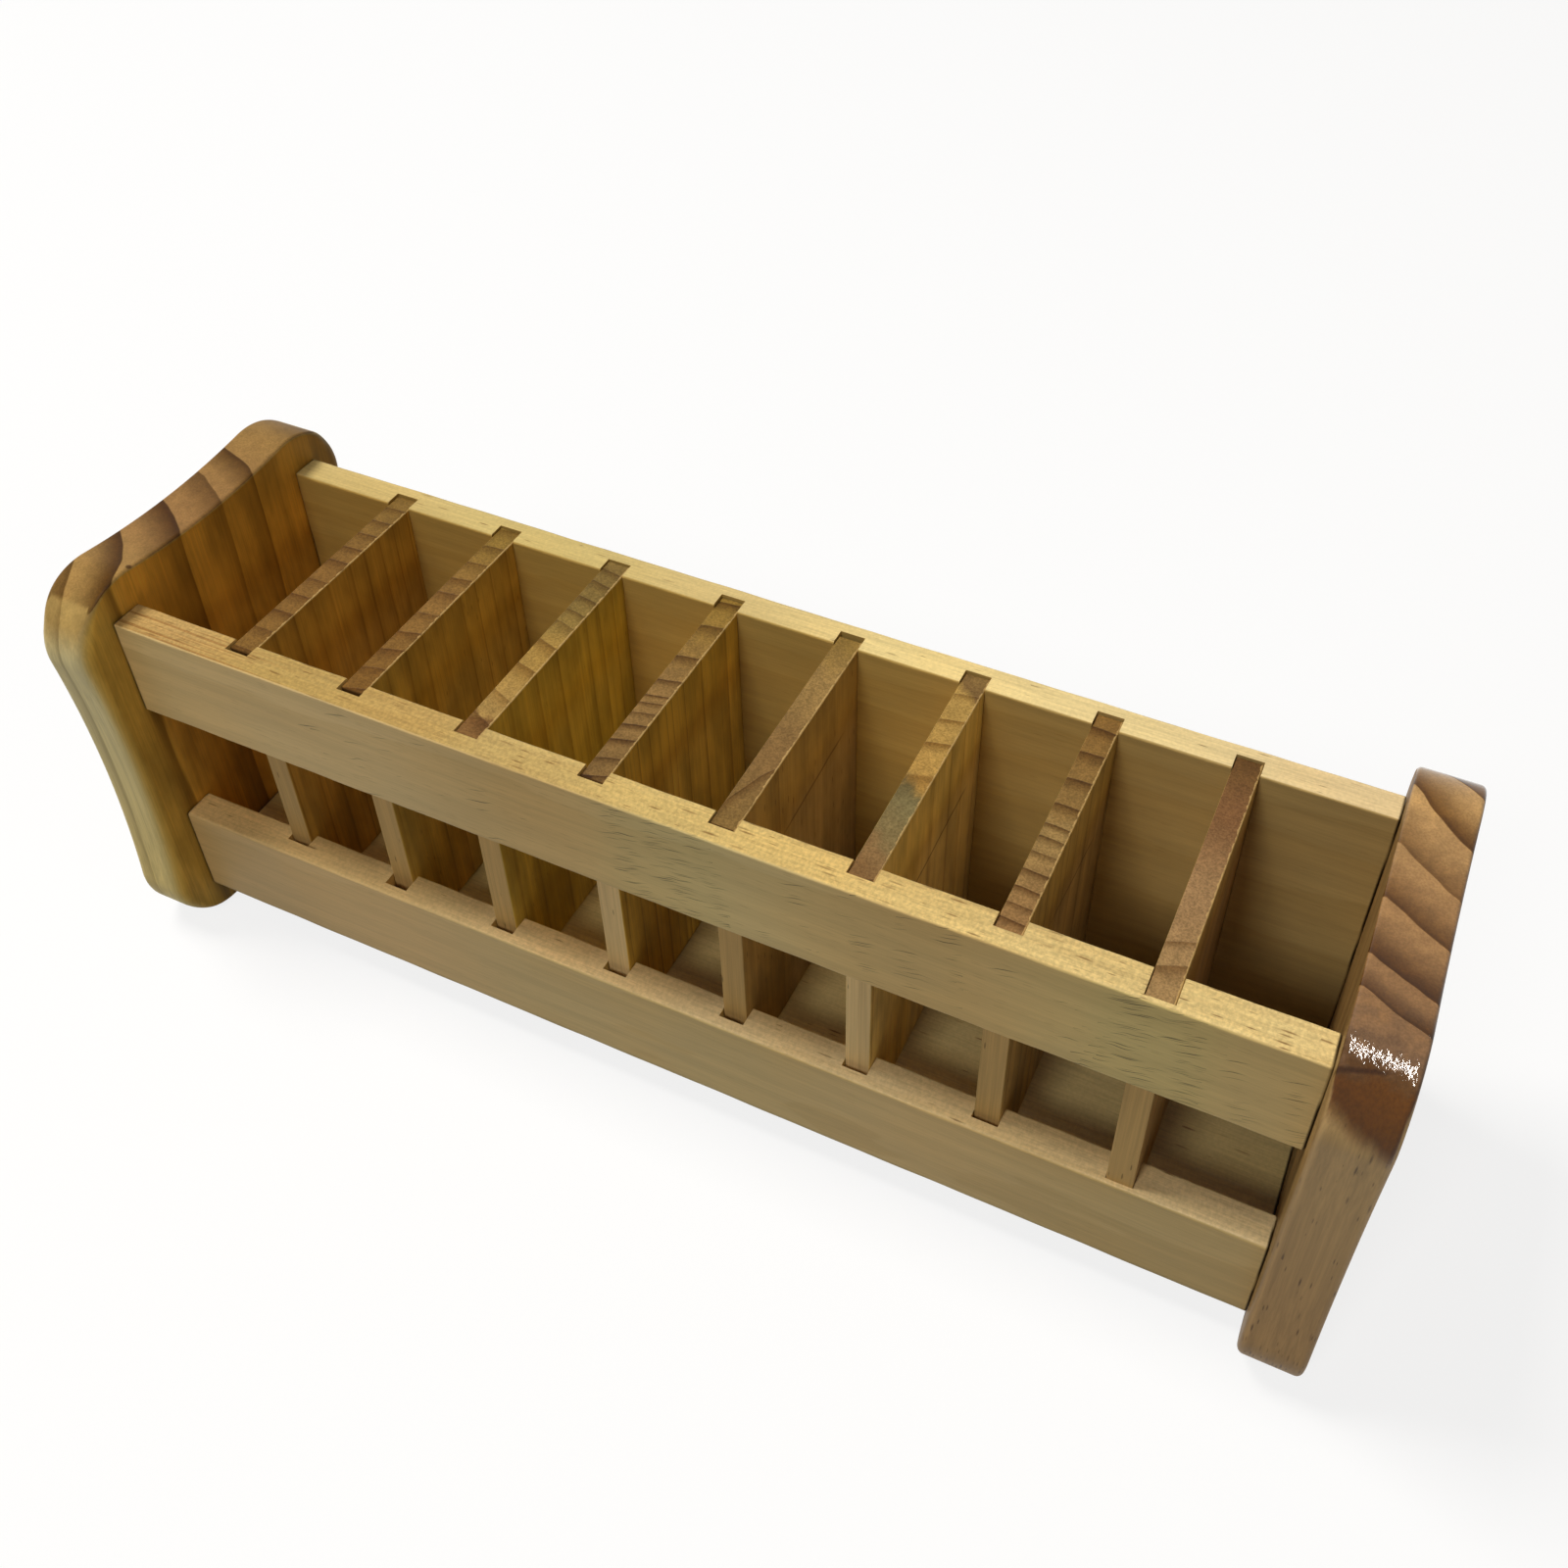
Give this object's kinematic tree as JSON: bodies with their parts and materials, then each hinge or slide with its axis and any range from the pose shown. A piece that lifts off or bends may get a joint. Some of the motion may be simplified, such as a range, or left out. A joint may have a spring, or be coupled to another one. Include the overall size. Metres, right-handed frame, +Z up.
{
  "type": "pen holder",
  "caption": "Long open wooden pen holder: shaped end panels carry front rails, a back board and a floor, with lift-out dividers that make a row of pockets.",
  "frame": {"origin": "middle of the footprint, on the surface that the feet stand on", "axes": "+X along the row of pockets, +Y from the front rails to the back board, +Z up"},
  "size_m": [0.396, 0.1172, 0.1442],
  "materials": {
    "panel_pine": "clear satin varnish",
    "rail_pine": "clear satin varnish",
    "back_pine": "clear satin varnish",
    "floor_pine": "clear satin varnish",
    "divider_pine": "clear satin varnish",
    "dowel_beech": "bare wood"
  },
  "bodies": {
    "holder": {"left_end_panel": "panel_pine", "right_end_panel": "panel_pine", "front_top_rail": "rail_pine", "front_bottom_rail": "rail_pine", "back_board": "back_pine", "floor_board": "floor_pine", "dowel_left_bottom_rail_1": "dowel_beech", "dowel_left_bottom_rail_2": "dowel_beech", "dowel_left_top_rail_1": "dowel_beech", "dowel_left_top_rail_2": "dowel_beech", "dowel_left_back_1": "dowel_beech", "dowel_left_back_2": "dowel_beech", "dowel_left_back_3": "dowel_beech", "dowel_left_floor_1": "dowel_beech", "dowel_left_floor_2": "dowel_beech", "dowel_right_bottom_rail_1": "dowel_beech", "dowel_right_bottom_rail_2": "dowel_beech", "dowel_right_top_rail_1": "dowel_beech", "dowel_right_top_rail_2": "dowel_beech", "dowel_right_back_1": "dowel_beech", "dowel_right_back_2": "dowel_beech", "dowel_right_back_3": "dowel_beech", "dowel_right_floor_1": "dowel_beech", "dowel_right_floor_2": "dowel_beech"},
    "divider_1": {"divider_1": "divider_pine"},
    "divider_2": {"divider_2": "divider_pine"},
    "divider_3": {"divider_3": "divider_pine"},
    "divider_4": {"divider_4": "divider_pine"},
    "divider_5": {"divider_5": "divider_pine"},
    "divider_6": {"divider_6": "divider_pine"},
    "divider_7": {"divider_7": "divider_pine"},
    "divider_8": {"divider_8": "divider_pine"}
  },
  "joints": [
    {"name": "divider_1_lift", "type": "slide", "parent": "holder", "child": "divider_1", "axis": [0, 0, 1], "range_m": [0, 0.1085]},
    {"name": "divider_2_lift", "type": "slide", "parent": "holder", "child": "divider_2", "axis": [0, 0, 1], "range_m": [0, 0.1085]},
    {"name": "divider_3_lift", "type": "slide", "parent": "holder", "child": "divider_3", "axis": [0, 0, 1], "range_m": [0, 0.1085]},
    {"name": "divider_4_lift", "type": "slide", "parent": "holder", "child": "divider_4", "axis": [0, 0, 1], "range_m": [0, 0.1085]},
    {"name": "divider_5_lift", "type": "slide", "parent": "holder", "child": "divider_5", "axis": [0, 0, 1], "range_m": [0, 0.1085]},
    {"name": "divider_6_lift", "type": "slide", "parent": "holder", "child": "divider_6", "axis": [0, 0, 1], "range_m": [0, 0.1085]},
    {"name": "divider_7_lift", "type": "slide", "parent": "holder", "child": "divider_7", "axis": [0, 0, 1], "range_m": [0, 0.1085]},
    {"name": "divider_8_lift", "type": "slide", "parent": "holder", "child": "divider_8", "axis": [0, 0, 1], "range_m": [0, 0.1085]}
  ]
}
